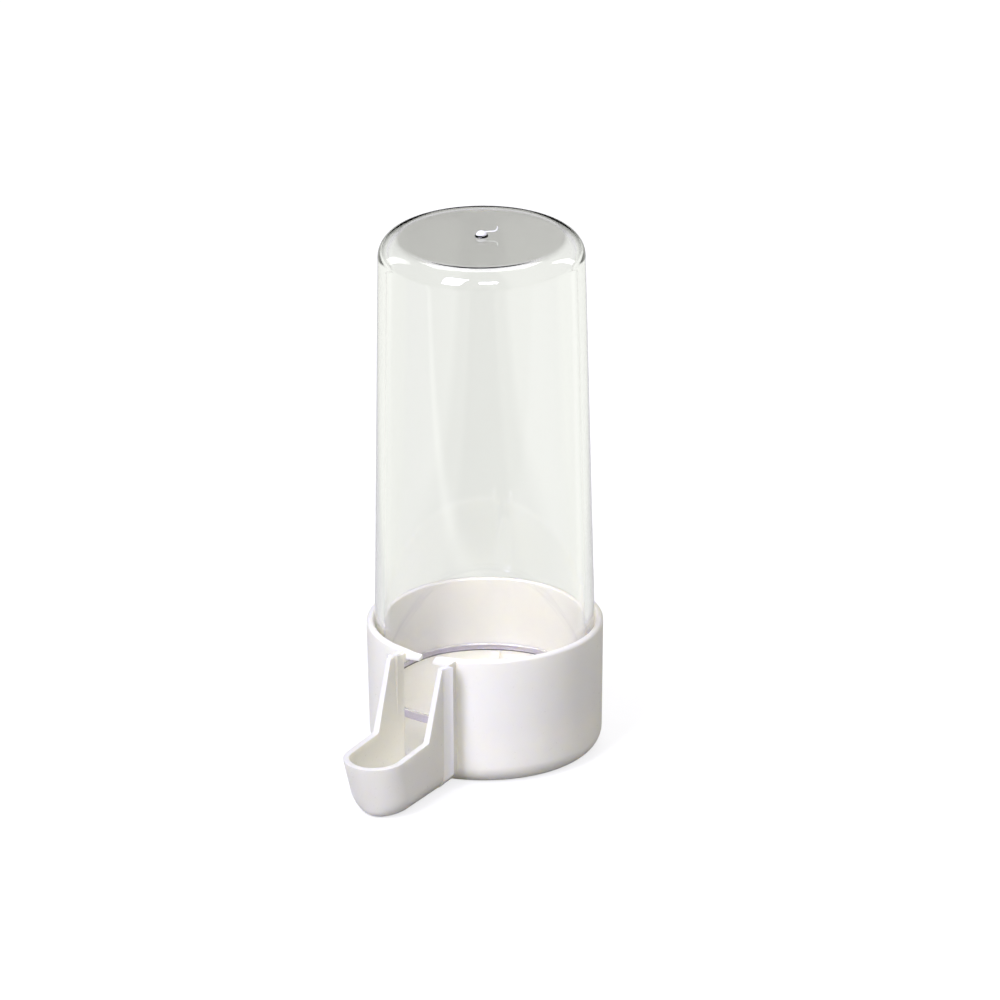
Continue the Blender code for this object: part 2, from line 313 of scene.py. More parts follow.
# %% [markdown]
# ## The cup
# The base is a second moulding, in white polystyrene. Its cup is turned like the tube: up the
# bore, over a rounded rim, down the slightly drafted outside and round the foot. A Screw modifier
# could turn the profile too, but a spin leaves a plain mesh, ready for the joins and cuts below.

# %% Cup measures
CUP_RIM_RADIUS = 25.0 * MM
CUP_FOOT_RADIUS = 24.45 * MM
CUP_FOOT_ROUND = 4.3 * MM
CUP_RIM_ROUND = 0.7 * MM
BORE_RIM_RADIUS = 23.55 * MM
BORE_FLOOR_RADIUS = 23.2 * MM
BORE_ROUND = 3.0 * MM
BORE_LEAD_IN = 0.35 * MM
CUP_FLOOR = 1.8 * MM
print("cup wall", round((CUP_RIM_RADIUS - BORE_RIM_RADIUS) / MM, 2), "mm at the rim")

# %% Cup: profile, rounded corners, spin
cup_profile = [
    (0.0, 0.0, CUP_FLOOR),
    (BORE_FLOOR_RADIUS, 0.0, CUP_FLOOR),
    (BORE_RIM_RADIUS, 0.0, CUP_HEIGHT - BORE_LEAD_IN),
    (BORE_RIM_RADIUS + BORE_LEAD_IN, 0.0, CUP_HEIGHT),
    (CUP_RIM_RADIUS, 0.0, CUP_HEIGHT),
    (CUP_FOOT_RADIUS, 0.0, 0.0),
    (0.0, 0.0, 0.0),
]
base = draw_line("white_drinker_base", cup_profile)
round_corner(cup_profile[1], BORE_ROUND, 90, 8)
round_corner(cup_profile[4], CUP_RIM_ROUND, 89, 6)
round_corner(cup_profile[5], CUP_FOOT_ROUND, 91, 10)
spin_round(ROUND_STEPS)
report(base)

# %% [markdown]
# ## The spout
# The spout is a trough with a half-round nose, from which the bird drinks. A bevelled box would
# give straight walls, but the nose leans out and tapers. Seen from above the outline is a U, so a
# half circle is drawn, its ends run back into the cup, and the outline is extruded upwards level by
# level. At each level it is resized: it widens round the bottom edge, and the nose leans out.

# %% Spout measures
SPOUT_HALF = 6.75 * MM
SPOUT_WALL = 1.35 * MM
SPOUT_FOOT = 0.2 * MM
SPOUT_FLOOR = 2.0 * MM
SPOUT_CORNER = 4.6 * MM
SPOUT_BACK = 18.0 * MM
TROUGH_BACK = 16.0 * MM
TROUGH_RIM = 13.15 * MM
RIM_MARGIN = 0.5 * MM
RIM_TILT = math.radians(2.5)
NOSE_CENTRE = 46.45 * MM
NOSE_LENGTH = 6.7 * MM
NOSE_LEAN = 0.345
NOSE_TAPER = 0.06
NOSE_ROUND = 1.4 * MM
CHEEK_TOP = 28.55 * MM
CHEEK_REACH = 29.75 * MM
CHEEK_FOOT = 35.6 * MM
CHEEK_FILLET = 0.5 * MM
CHEEK_DRAFT = 0.0225
CORNER_ROWS = 10
NOSE_POINTS = 40
print("spout reaches", round((NOSE_CENTRE + NOSE_LENGTH) / MM, 2), "mm from the tube's axis")

# %% Spout: how the outline is raised
SAME_PLACE = 0.001 * MM


def drawn_in(rise, radius):
    """How far a rounded bottom edge is drawn in at a height above the foot."""
    rise = min(max(rise, 0.0), radius)
    return radius - math.sqrt(radius**2 - (radius - rise) ** 2)


def outline_at(height, foot, inset, draft):
    """Half width, nose length and nose centre of the spout's outline at a height."""
    drop = max(-RIM_MARGIN, TROUGH_RIM - height)
    half = SPOUT_HALF - inset - drawn_in(height - foot, SPOUT_CORNER - inset)
    half += draft * max(0.0, height - TROUGH_RIM)
    nose = NOSE_LENGTH - NOSE_TAPER * drop - inset - drawn_in(height - foot, NOSE_ROUND)
    return half, nose, NOSE_CENTRE - NOSE_LEAN * drop


def raise_spout(name, foot, inset, top, back, draft):
    """Extrudes the U outline from its foot to its top, and resizes it at each level."""
    half, nose, centre = outline_at(foot, foot, inset, draft)
    outline = [(half, -back, foot)]
    for i in range(NOSE_POINTS + 1):
        angle = math.pi * i / NOSE_POINTS
        outline.append((half * math.cos(angle), -centre - nose * math.sin(angle), foot))
    outline.append((-half, -back, foot))
    body = draw_line(name, outline)
    bpy.ops.mesh.select_all(action="SELECT")
    bpy.ops.mesh.edge_face_add()
    radius = SPOUT_CORNER - inset
    turns = [math.pi / 2 * (row + 1) / CORNER_ROWS for row in range(CORNER_ROWS)]
    levels = [foot + radius * (1 - math.cos(angle)) for angle in turns]
    levels += [TROUGH_RIM + RIM_MARGIN, top]
    height = foot
    for level in levels:
        new_half, new_nose, new_centre = outline_at(level, foot, inset, draft)
        lift = {"value": (0.0, 0.0, level - height)}
        bpy.ops.mesh.extrude_region_move(TRANSFORM_OT_translate=lift)
        bpy.ops.transform.resize(value=(new_half / half, 1, 1), center_override=(0, 0, level))
        edge = -centre + SAME_PLACE
        select_points(lambda co: abs(co.z - level) < SAME_PLACE and co.y < edge)
        bpy.ops.transform.resize(
            value=(1, new_nose / nose, 1), center_override=(0, -centre, level))
        bpy.ops.transform.translate(value=(0, centre - new_centre, 0))
        select_points(lambda co: abs(co.z - level) < SAME_PLACE)
        half, nose, centre, height = new_half, new_nose, new_centre, level
    close_solid()
    return body


# %% Spout: outer body and trough
CUT_OVERRUN = 10 * MM
spout = raise_spout("spout", SPOUT_FOOT, 0.0, CHEEK_TOP, SPOUT_BACK, 0.0)
trough_top = CHEEK_TOP + CUT_OVERRUN
trough = raise_spout("trough", SPOUT_FLOOR, SPOUT_WALL, trough_top, TROUGH_BACK, CHEEK_DRAFT)
report(spout)
report(trough)

# %% [markdown]
# ## Barbs
# Two upright barbs on the neck snap past the cage bars, so each has a flat back towards the cup and
# a slanted front. A barb is drawn as its outline from above, raised to the cheek's top and cut at a
# slant near the foot, where it runs out. It could be extruded from the neck's own faces, but as a
# piece of its own it is modelled once and mirrored for the other side.

# %% Barb
BARB_BACK = 27.35 * MM
BARB_KNEE = 28.0 * MM
BARB_FRONT = 29.4 * MM
BARB_DRAFT = 0.12 * MM
BARB_TIP_STEP = 1.30 * MM
BARB_KNEE_STEP = 0.66 * MM
BARB_ROOT = 1.6 * MM
BARB_FOOT = 1.4 * MM
BARB_FULL = 4.4 * MM
BARB_RUN_OUT = 1.35 * MM


def upright_prism(name, outline, low, high):
    """A line round an outline seen from above, filled and extruded upwards."""
    prism = draw_line(name, [(x, y, low) for x, y in outline])
    bpy.ops.mesh.select_all(action="SELECT")
    bpy.ops.mesh.edge_face_add()
    bpy.ops.mesh.extrude_region_move(TRANSFORM_OT_translate={"value": (0, 0, high - low)})
    close_solid()
    return prism


def mirrored(piece):
    """A copy of a piece on the other side of the spout, with its own mesh."""
    deselect_all()
    bpy.context.view_layer.objects.active = piece
    piece.select_set(True)
    bpy.ops.object.duplicate(linked=False)
    bpy.ops.object.mode_set(mode="EDIT")
    bpy.ops.mesh.select_all(action="SELECT")
    bpy.ops.transform.resize(value=(-1, 1, 1), center_override=(0, 0, 0))
    close_solid()
    return bpy.context.object


root = SPOUT_HALF - BARB_ROOT
barb = upright_prism("barb", [
    (root, -BARB_BACK),
    (SPOUT_HALF + BARB_TIP_STEP, -BARB_BACK - BARB_DRAFT),
    (SPOUT_HALF + BARB_KNEE_STEP, -BARB_KNEE),
    (SPOUT_HALF, -BARB_FRONT),
    (root, -BARB_FRONT),
], BARB_FOOT, CHEEK_TOP)
bpy.ops.object.mode_set(mode="EDIT")
bpy.ops.mesh.select_all(action="SELECT")
run_out = Vector((BARB_FULL - BARB_FOOT, 0.0, -BARB_TIP_STEP - BARB_RUN_OUT)).normalized()
bpy.ops.mesh.bisect(
    plane_co=(SPOUT_HALF - BARB_RUN_OUT, 0, BARB_FOOT), plane_no=run_out,
    clear_outer=True, use_fill=True)
close_solid()
for wedge in (mirrored(barb), barb):
    apply_boolean(spout, "UNION", wedge)
report(spout)

# %% [markdown]
# ## Hollows
# Behind each barb the inner wall is hollow, so that the plastic isn't thick enough there to sink
# while it cools. A box would cut a plain slot. A prism with four corners, its top moved outwards,
# also gives the taper that lets the moulding leave its mould.

# %% Hollow behind each barb
HOLLOW_BACK = 26.95 * MM
HOLLOW_FRONT = 28.4 * MM
HOLLOW_STEP = 0.5 * MM
HOLLOW_FOOT = 14.0 * MM
HOLLOW_TOP = CHEEK_TOP + CUT_OVERRUN / 2
inner = SPOUT_HALF - SPOUT_WALL
hollow_deepening = HOLLOW_STEP / (CHEEK_TOP - TROUGH_RIM)
foot_depth = hollow_deepening * (HOLLOW_FOOT - TROUGH_RIM)


def lean_out(test, shift):
    """Moves the points of the active piece that pass a test sideways, and keeps its faces flat."""
    bpy.ops.object.mode_set(mode="EDIT")
    select_points(test)
    bpy.ops.transform.translate(value=(shift, 0, 0))
    bpy.ops.mesh.select_all(action="SELECT")
    bpy.ops.mesh.quads_convert_to_tris()
    bpy.ops.object.mode_set(mode="OBJECT")


hollow = upright_prism("hollow", [
    (inner - HOLLOW_STEP, -HOLLOW_BACK + HOLLOW_STEP),
    (inner + foot_depth, -HOLLOW_BACK - HOLLOW_STEP),
    (inner + foot_depth, -HOLLOW_FRONT + HOLLOW_STEP),
    (inner - HOLLOW_STEP, -HOLLOW_FRONT - HOLLOW_STEP),
], HOLLOW_FOOT, HOLLOW_TOP)
hollow_height = HOLLOW_TOP - HOLLOW_FOOT
lean_out(lambda co: co.z > HOLLOW_TOP - MM, CHEEK_DRAFT * hollow_height)
lean_out(lambda co: co.z > HOLLOW_TOP - MM and co.x > inner, hollow_deepening * hollow_height)
report(hollow)

# %% [markdown]
# ## Cheeks and trough
# The cheeks beside the neck slope down to the trough's rim, with a small fillet at the foot of the
# slope. Points could be moved down one by one, but it is simpler to draw from the side all that has
# to go, pull it across the spout and cut once, which leaves both cheeks and the rim in line.

# %% Cheek slope and trough, cut out of the spout
CUT_SPAN = 12.0 * MM


def rim_height(reach):
    """Height of the trough's rim, which falls a little from the cheeks to the tip of the nose."""
    return TROUGH_RIM + (NOSE_CENTRE + NOSE_LENGTH - reach) * math.tan(RIM_TILT)


slope_end = NOSE_CENTRE + CUT_SPAN
slope_outline = [
    (-CUT_SPAN, -CHEEK_REACH, CHEEK_TOP + CUT_SPAN),
    (-CUT_SPAN, -CHEEK_REACH, CHEEK_TOP),
    (-CUT_SPAN, -CHEEK_FOOT, rim_height(CHEEK_FOOT)),
    (-CUT_SPAN, -slope_end, rim_height(slope_end)),
    (-CUT_SPAN, -slope_end, CHEEK_TOP + CUT_SPAN),
]
cheek_lean = math.atan2(CHEEK_FOOT - CHEEK_REACH, CHEEK_TOP - rim_height(CHEEK_FOOT))
slope = draw_line("cheek_slope", slope_outline)
round_corner(slope_outline[2], CHEEK_FILLET, 90 - math.degrees(cheek_lean + RIM_TILT), 4)
bpy.ops.mesh.select_all(action="SELECT")
bpy.ops.mesh.edge_face_add()
bpy.ops.mesh.extrude_region_move(TRANSFORM_OT_translate={"value": (2 * CUT_SPAN, 0, 0)})
close_solid()
for cutter in (slope, trough, mirrored(hollow), hollow):
    apply_boolean(spout, "DIFFERENCE", cutter)
report(spout)

# %% [markdown]
# ## Softer edges
# No moulded edge is perfectly sharp: the corners of the mould are worn or polished to a small
# radius, and that radius catches the light as a thin bright line. A Bevel modifier would also take
# the edges at the back, which still have to join the cup. So the edges are picked by how sharply
# they turn and by their place, and are bevelled by a quarter of a millimetre.

# %% Bevel the spout's rim, cheeks and barbs
EDGE_ROUND = 0.25 * MM
EDGE_TURN = math.radians(40)
BEVEL_START = 25.6 * MM
BEVEL_FOOT = TROUGH_RIM - 0.05 * MM


def bevel_edges(piece, test, width, segments):
    """Bevels the edges of a piece that turn sharply and whose two ends pass a test of place."""
    deselect_all()
    bpy.context.view_layer.objects.active = piece
    piece.select_set(True)
    bpy.ops.object.mode_set(mode="EDIT")
    bpy.ops.mesh.select_mode(type="EDGE")
    bpy.ops.mesh.select_all(action="DESELECT")
    shape = bmesh.from_edit_mesh(piece.data)
    count = 0
    for edge in shape.edges:
        sharp = edge.is_manifold and edge.calc_face_angle() > EDGE_TURN and edge.is_convex
        if sharp and all(test(point.co) for point in edge.verts):
            edge.select_set(True)
            count += 1
    bmesh.update_edit_mesh(piece.data)
    bpy.ops.mesh.bevel(offset=width, segments=segments, affect="EDGES", clamp_overlap=True)
    bpy.ops.object.mode_set(mode="OBJECT")
    print("bevelled", count, "edges of", piece.name)


bevel_edges(spout, lambda co: co.z > BEVEL_FOOT and -co.y > BEVEL_START, EDGE_ROUND, 3)
report(spout)

# %% [markdown]
# ## The neck
# Between the cheeks the inside narrows towards the window in the cup's wall. The trough's outline
# could be pinched there, but its rounded corners would be pinched with it. So a thin wedge is
# joined to each wall instead. The wedges end just below the bevels, which stay whole.

# %% Neck: the inside narrows to the window
NECK_HALF = 5.2 * MM
NECK_END = 25.8 * MM
NECK_START = 26.6 * MM
NECK_FOOT = 3.0 * MM
NECK_ROOT = 0.5 * MM
NECK_OVERLAP = 0.02 * MM
NECK_DROP = 0.06 * MM
neck_top = CHEEK_TOP - EDGE_ROUND - NECK_DROP
neck = upright_prism("neck", [
    (NECK_HALF, -SPOUT_BACK - MM),
    (SPOUT_HALF - NECK_ROOT, -SPOUT_BACK - MM),
    (SPOUT_HALF - NECK_ROOT, -NECK_START),
    (inner + NECK_OVERLAP, -NECK_START),
    (NECK_HALF, -NECK_END),
], NECK_FOOT, neck_top)
neck_corner = (inner + NECK_OVERLAP, -NECK_START, neck_top)
lean_out(near(neck_corner), CHEEK_DRAFT * (neck_top - TROUGH_RIM))
for narrowing in (mirrored(neck), neck):
    apply_boolean(spout, "UNION", narrowing)
    bpy.ops.object.mode_set(mode="EDIT")
    close_solid()
report(spout)

# %% [markdown]
# ## Joining the spout to the cup
# Cup and spout are one moulding, so they become one mesh. Joined as it is, the spout would stand
# out into the bore. Its back end is first trimmed along the middle of the cup's wall, with a turned
# core of that radius, and the union then has a clean overlap all round.

# %% Trim the spout and join it
WALL_MIDDLE = (CUP_RIM_RADIUS - BORE_RIM_RADIUS) / 2
core_foot = CUP_FOOT_RADIUS - WALL_MIDDLE
core_profile = [
    (0.0, 0.0, CUP_HEIGHT + CUT_OVERRUN),
    (CUP_RIM_RADIUS - WALL_MIDDLE, 0.0, CUP_HEIGHT + CUT_OVERRUN),
    (CUP_RIM_RADIUS - WALL_MIDDLE, 0.0, CUP_HEIGHT),
    (core_foot, 0.0, CUP_FLOOR / 2),
    (0.0, 0.0, CUP_FLOOR / 2),
]
core = draw_line("core", core_profile)
round_corner(core_profile[3], CUP_FOOT_ROUND, 91, 10)
spin_round(ROUND_STEPS)
apply_boolean(spout, "DIFFERENCE", core)
report(spout)
apply_boolean(base, "UNION", spout)
report(base)

# %% [markdown]
# ## Seat ribs
# Four low ribs in the bore carry the tube's edge, and the water runs out between them. A ledge all
# round would be easier to turn, but it would dam the water. Each rib is a small upright block,
# drawn at the back of the bore, turned to its angle and joined to the wall.

# %% Seat ribs
RIB_ANGLES = (-114, -24, 24, 114)
RIB_HALF = 0.8 * MM
RIB_REACH = 1.3 * MM
RIB_ROOT = 0.4 * MM
RIB_FOOT = 2.2 * MM
SEAT_GAP = 0.3 * MM
for angle in RIB_ANGLES:
    rib = upright_prism("rib", [
        (-RIB_HALF, BORE_FLOOR_RADIUS - RIB_REACH),
        (RIB_HALF, BORE_FLOOR_RADIUS - RIB_REACH),
        (RIB_HALF, BORE_FLOOR_RADIUS + RIB_ROOT),
        (-RIB_HALF, BORE_FLOOR_RADIUS + RIB_ROOT),
    ], RIB_FOOT, TUBE_SEAT - SEAT_GAP)
    bpy.ops.object.mode_set(mode="EDIT")
    bpy.ops.mesh.select_all(action="SELECT")
    bpy.ops.transform.rotate(value=math.radians(angle), orient_axis="Z", center_override=(0, 0, 0))
    bpy.ops.object.mode_set(mode="OBJECT")
    apply_boolean(base, "UNION", rib)
report(base)

# %% [markdown]
# ## Window and notch
# The water leaves the cup through a window between the cheeks, and the rim above it is notched,
# with a short spur on either side. Cutting them into the cup's profile isn't possible, because it is
# turned. So both are drawn from the front and pushed through the finished wall, the window widening
# on its way in, and the two are cut out last.

# %% Window
WINDOW_TOP = 26.8 * MM
WINDOW_HALF = 5.15 * MM
WINDOW_CORNER = 3.0 * MM
WINDOW_SILL = 0.05 * MM
WINDOW_FRONT = 26.3 * MM
WINDOW_BACK = 17.0 * MM
WINDOW_EDGE = 25.2 * MM
WINDOW_INNER = 21.4 * MM
WINDOW_SPLAY = 2.2 * MM
window_floor = SPOUT_FLOOR + WINDOW_SILL
window_section = [
    (WINDOW_HALF, -WINDOW_FRONT, WINDOW_TOP),
    (WINDOW_HALF, -WINDOW_FRONT, window_floor),
    (-WINDOW_HALF, -WINDOW_FRONT, window_floor),
    (-WINDOW_HALF, -WINDOW_FRONT, WINDOW_TOP),
]
window = draw_line("window", window_section)
for corner in window_section[1:3]:
    round_corner(corner, WINDOW_CORNER, 90, 8)
bpy.ops.mesh.select_all(action="SELECT")
bpy.ops.mesh.edge_face_add()
for start, end, widening in (
    (WINDOW_FRONT, WINDOW_EDGE, 1.0),
    (WINDOW_EDGE, WINDOW_INNER, (WINDOW_HALF + WINDOW_SPLAY) / WINDOW_HALF),
    (WINDOW_INNER, WINDOW_BACK, 1.0),
):
    bpy.ops.mesh.extrude_region_move(TRANSFORM_OT_translate={"value": (0, start - end, 0)})
    bpy.ops.transform.resize(value=(widening, 1, 1), center_override=(0, 0, 0))
close_solid()
report(window)

# %% Notch, and both cut out
NOTCH_BACK = 22.0 * MM
NOTCH_FRONT = 26.2 * MM
NOTCH_FOOT = 27.3 * MM
NOTCH_RIM_HALF = 5.3 * MM
SPUR_GAP_HALF = 1.6 * MM
SPUR_UNDERSIDE = 27.2 * MM
SPUR_ROOT_HALF = 4.9 * MM
notch_half = [
    (NOTCH_RIM_HALF, CUP_HEIGHT + CUT_OVERRUN / 2),
    (NOTCH_RIM_HALF, CUP_HEIGHT),
    (SPUR_GAP_HALF, CUP_HEIGHT),
    (SPUR_GAP_HALF, SPUR_UNDERSIDE),
    (SPUR_ROOT_HALF, WINDOW_TOP),
    (SPUR_ROOT_HALF, WINDOW_TOP - MM),
]
notch_outline = notch_half + [(-x, z) for x, z in reversed(notch_half)]
notch = draw_line("notch", [(x, -NOTCH_BACK, z) for x, z in notch_outline])
bpy.ops.mesh.select_all(action="SELECT")
bpy.ops.mesh.edge_face_add()
bpy.ops.mesh.extrude_region_move(
    TRANSFORM_OT_translate={"value": (0, NOTCH_BACK - NOTCH_FRONT, 0)})
select_points(lambda co: abs(co.y + NOTCH_FRONT) < SAME_PLACE
              and abs(co.z - CUP_HEIGHT) < SAME_PLACE and abs(co.x) < 2 * SPUR_GAP_HALF)
bpy.ops.transform.translate(value=(0, 0, NOTCH_FOOT - CUP_HEIGHT))
close_solid()
for cutter in (window, notch):
    apply_boolean(base, "DIFFERENCE", cutter)
report(base)

# %% [markdown]
# ## Shading the base
# A moulding is smooth between its edges. More faces could give that, but shading does it for less:
# faces that meet at less than forty degrees are shaded as one smooth surface. Weighted normals then
# let the large flat faces win over the thin bevels, so flats stay flat and only edges curve.

# %% Smooth shading for the base
SLIVER = 0.004 * MM
deselect_all()
bpy.context.view_layer.objects.active = base
base.select_set(True)
bpy.ops.object.mode_set(mode="EDIT")
bpy.ops.mesh.select_all(action="SELECT")
bpy.ops.mesh.remove_doubles(threshold=SLIVER)
bpy.ops.object.mode_set(mode="OBJECT")
bpy.ops.object.shade_smooth_by_angle(angle=EDGE_TURN)
weights = base.modifiers.new("weights", "WEIGHTED_NORMAL")
weights.keep_sharp = True
bpy.ops.object.modifier_apply(modifier=weights.name)
report(base)

# %% [markdown]
# ## Materials
# Colours are written as the hex values one would pick on a screen, and one function turns them to
# the linear values that a shader works with. One more function adds a node, sets it and links it.
# Finishes could be painted on image maps, but patterns worked out from millimetres need no file and
# can be read and changed here.

# %% Helpers for materials
def colour(hex_value):
    """An sRGB hex colour as linear red, green, blue and alpha."""
    linear = []
    for i in (1, 3, 5):
        level = int(hex_value[i:i + 2], 16) / 255
        linear.append(level / 12.92 if level <= 0.04045 else ((level + 0.055) / 1.055) ** 2.4)
    return (*linear, 1.0)


def node(tree, kind, inputs=None, **settings):
    """Adds a node with its settings; an input is a value or another node's output socket."""
    made = tree.nodes.new(kind)
    for name, value in settings.items():
        setattr(made, name, value)
    for name, value in (inputs or {}).items():
        if isinstance(value, bpy.types.NodeSocket):
            tree.links.new(value, made.inputs[name])
        else:
            made.inputs[name].default_value = value
    return made


def new_material(name):
    """A material with an empty node tree."""
    material = bpy.data.materials.new(name)
    material.use_nodes = True
    material.node_tree.nodes.clear()
    return material, material.node_tree


# A Mix node has sockets of the same names for numbers and for colours, so they are picked by order.
NUMBER_A, NUMBER_B, COLOUR_A, COLOUR_B = 2, 3, 6, 7
MIXED_NUMBER, MIXED_COLOUR = 0, 2
WHITE = colour("#FFFFFF")
print("middle grey is", round(colour("#808080")[0], 3), "as a linear value")

# %% [markdown]
# ## White polystyrene
# The base is moulded in white polystyrene against polished steel. It gives the eye a slightly ivory
# white with a satin gloss and soft shade, because light that enters the plastic comes out again a
# few millimetres away. A flat white would look painted. So the colour drifts a little, a grain
# varies the gloss, and the scatter below the surface has its real reach.

# %% Moulded white polystyrene
# The real grain is a few hundredths of a millimetre wide, too fine to show, so it is drawn coarser.
GRAIN_SIZE = 0.7 * MM
GRAIN_DEPTH = 0.01 * MM
CLOUD_SIZE = 9 * MM
SCATTER_REACH = 2.6 * MM
POLYSTYRENE_IOR = 1.59
white, tree = new_material("moulded_white_polystyrene")
place = node(tree, "ShaderNodeTexCoord").outputs["Object"]
cloud = node(tree, "ShaderNodeTexNoise", {"Vector": place, "Scale": 1 / CLOUD_SIZE, "Detail": 3.0})
tint = node(tree, "ShaderNodeMix", {
    "Factor": cloud.outputs["Fac"], COLOUR_A: colour("#F1EFE1"), COLOUR_B: colour("#F4F2E7"),
}, data_type="RGBA")
grain = node(tree, "ShaderNodeTexNoise", {"Vector": place, "Scale": 1 / GRAIN_SIZE, "Detail": 2.0})
gloss = node(tree, "ShaderNodeMapRange", {
    "Value": grain.outputs["Fac"], "To Min": 0.24, "To Max": 0.36,
})
relief = node(tree, "ShaderNodeBump", {
    "Height": grain.outputs["Fac"], "Strength": 0.25, "Distance": GRAIN_DEPTH,
})
shader = node(tree, "ShaderNodeBsdfPrincipled", {
    "Base Color": tint.outputs[MIXED_COLOUR],
    "Roughness": gloss.outputs["Result"],
    "Normal": relief.outputs["Normal"],
    "IOR": POLYSTYRENE_IOR,
    "Subsurface Weight": 0.6,
    "Subsurface Radius": (1.0, 0.9, 0.55),
    "Subsurface Scale": SCATTER_REACH,
})
node(tree, "ShaderNodeOutputMaterial", {"Surface": shader.outputs["BSDF"]})
print(white.name, "has", len(tree.nodes), "nodes")

# %% [markdown]
# ## Clear polystyrene
# The tube is clear polystyrene from a polished mould. It gives the eye a bright wall that bends what
# lies behind it, with pale bands at the sides and a faint violet where light runs far through the
# plastic. A see-through flat colour can't bend anything, so the shader transmits and refracts.
# Two tints are painted light: a painted grey shade on the flat top, and a painted violet on the lip
# at the foot, which stands in for light that runs far through the plastic.

# %% Clear polystyrene: gloss and painted grey shade on the top
# Hairline wear is too fine to show, so it is drawn as faint patches of haze.
HAZE_SIZE = 6 * MM
TOP_DISC_OVERHANG = 0.95 * MM
TOP_DISC = TUBE_SHOULDER_RADIUS - TUBE_SHOULDER_ROUND + TOP_DISC_OVERHANG
TOP_DISC_EDGE = 0.8 * MM
clear, tree = new_material("polished_clear_polystyrene")
place = node(tree, "ShaderNodeTexCoord").outputs["Object"]
haze = node(tree, "ShaderNodeTexNoise", {"Vector": place, "Scale": 1 / HAZE_SIZE, "Detail": 4.0})
gloss = node(tree, "ShaderNodeMapRange", {
    "Value": haze.outputs["Fac"], "To Min": 0.0, "To Max": 0.03,
})
flat = node(tree, "ShaderNodeVectorMath", {0: place, 1: (1.0, 1.0, 0.0)}, operation="MULTIPLY")
away = node(tree, "ShaderNodeVectorMath", {0: flat.outputs["Vector"]}, operation="LENGTH")
# Painted shade: inside this radius the flat top is tinted grey.
top = node(tree, "ShaderNodeMapRange", {
    "Value": away.outputs["Value"], "From Min": TOP_DISC - TOP_DISC_EDGE, "From Max": TOP_DISC,
    "To Min": 1.0, "To Max": 0.0,
})
tint = node(tree, "ShaderNodeMix", {
    "Factor": top.outputs["Result"], COLOUR_A: WHITE, COLOUR_B: colour("#DBDAD9"),
}, data_type="RGBA")
print("grey top", round(TOP_DISC / MM, 2), "mm in radius")

# %% Clear polystyrene: painted violet lip and light that passes
# Lamp light passes straight through and is dimmed more than by the real wall, at each of its
# surfaces, which keeps the white cup inside from turning to plain white.
LIP_TOP = TUBE_SEAT + TUBE_LIP_HEIGHT
LIP_BLUR = 0.1 * MM
LAMP_LIGHT_PASSED = (0.745, 0.74, 0.69, 1.0)
VIOLET_DENSITY = 22.0
height = node(tree, "ShaderNodeSeparateXYZ", {"Vector": place}).outputs["Z"]
# Painted violet: below this height the lip is tinted, a stand-in for the violet of light that runs
# far through the edge.
lip = node(tree, "ShaderNodeMapRange", {
    "Value": height, "From Min": LIP_TOP - LIP_BLUR, "From Max": LIP_TOP + LIP_BLUR,
    "To Min": 1.0, "To Max": 0.0,
})
tint = node(tree, "ShaderNodeMix", {
    "Factor": lip.outputs["Result"], COLOUR_A: tint.outputs[MIXED_COLOUR],
    COLOUR_B: colour("#D8D3E8"),
}, data_type="RGBA")
shader = node(tree, "ShaderNodeBsdfPrincipled", {
    "Base Color": tint.outputs[MIXED_COLOUR],
    "Roughness": gloss.outputs["Result"],
    "Transmission Weight": 1.0,
    "IOR": POLYSTYRENE_IOR,
})
passing = node(tree, "ShaderNodeBsdfTransparent", {"Color": LAMP_LIGHT_PASSED})
path = node(tree, "ShaderNodeLightPath")
lit_through = node(tree, "ShaderNodeMixShader", {
    0: path.outputs["Is Shadow Ray"], 1: shader.outputs["BSDF"], 2: passing.outputs["BSDF"],
})
depth = node(tree, "ShaderNodeVolumeAbsorption", {
    "Color": colour("#D8D4F0"), "Density": VIOLET_DENSITY,
})
node(tree, "ShaderNodeOutputMaterial", {
    "Surface": lit_through.outputs["Shader"], "Volume": depth.outputs["Volume"],
})
print(clear.name, "has", len(tree.nodes), "nodes")

# %% [markdown]
# ## Torn polystyrene
# Where the gate tore, the clear plastic is full of tiny cracks. They scatter the light, and the eye
# gets a dull, uneven white. Modelling the cracks would take a huge mesh, so a noise varies the
# white and roughens the surface instead.

# %% Stress-whitened polystyrene
# The cracks are thousandths of a millimetre wide, too fine to show, so they are drawn coarser.
CRACK_SIZE = 0.35 * MM
CRACK_DEPTH = 0.06 * MM
torn, tree = new_material("stress_whitened_polystyrene")
place = node(tree, "ShaderNodeTexCoord").outputs["Object"]
tear = node(tree, "ShaderNodeTexNoise", {"Vector": place, "Scale": 1 / CRACK_SIZE, "Detail": 3.0})
tint = node(tree, "ShaderNodeMix", {
    "Factor": tear.outputs["Fac"], COLOUR_A: colour("#E4E4E2"), COLOUR_B: colour("#FAFAF8"),
}, data_type="RGBA")
relief = node(tree, "ShaderNodeBump", {
    "Height": tear.outputs["Fac"], "Strength": 0.5, "Distance": CRACK_DEPTH,
})
shader = node(tree, "ShaderNodeBsdfPrincipled", {
    "Base Color": tint.outputs[MIXED_COLOUR],
    "Roughness": 0.45,
    "Normal": relief.outputs["Normal"],
    "IOR": POLYSTYRENE_IOR,
})
node(tree, "ShaderNodeOutputMaterial", {"Surface": shader.outputs["BSDF"]})
print(torn.name, "has", len(tree.nodes), "nodes")

# %% [markdown]
# ## Finishing the pieces
# Each piece gets its material and the body it moves with. The pip could be joined to the tube's
# mesh, but as a piece of its own it keeps its own finish, and it rides on the tube. The measured
# solids of the two mouldings are hidden.

# %% Finish the pieces
for piece, material, body, slot in (
    (base, white, "base", "white_polystyrene"),
    (tube, clear, "tube", "clear_polystyrene"),
    (pip, torn, "tube", "clear_polystyrene"),
):
    piece.data.materials.clear()
    piece.data.materials.append(material)
    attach(piece, body)
    print(piece.name, "rides on", body)
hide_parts("drinker_base")
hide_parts("water_tube")
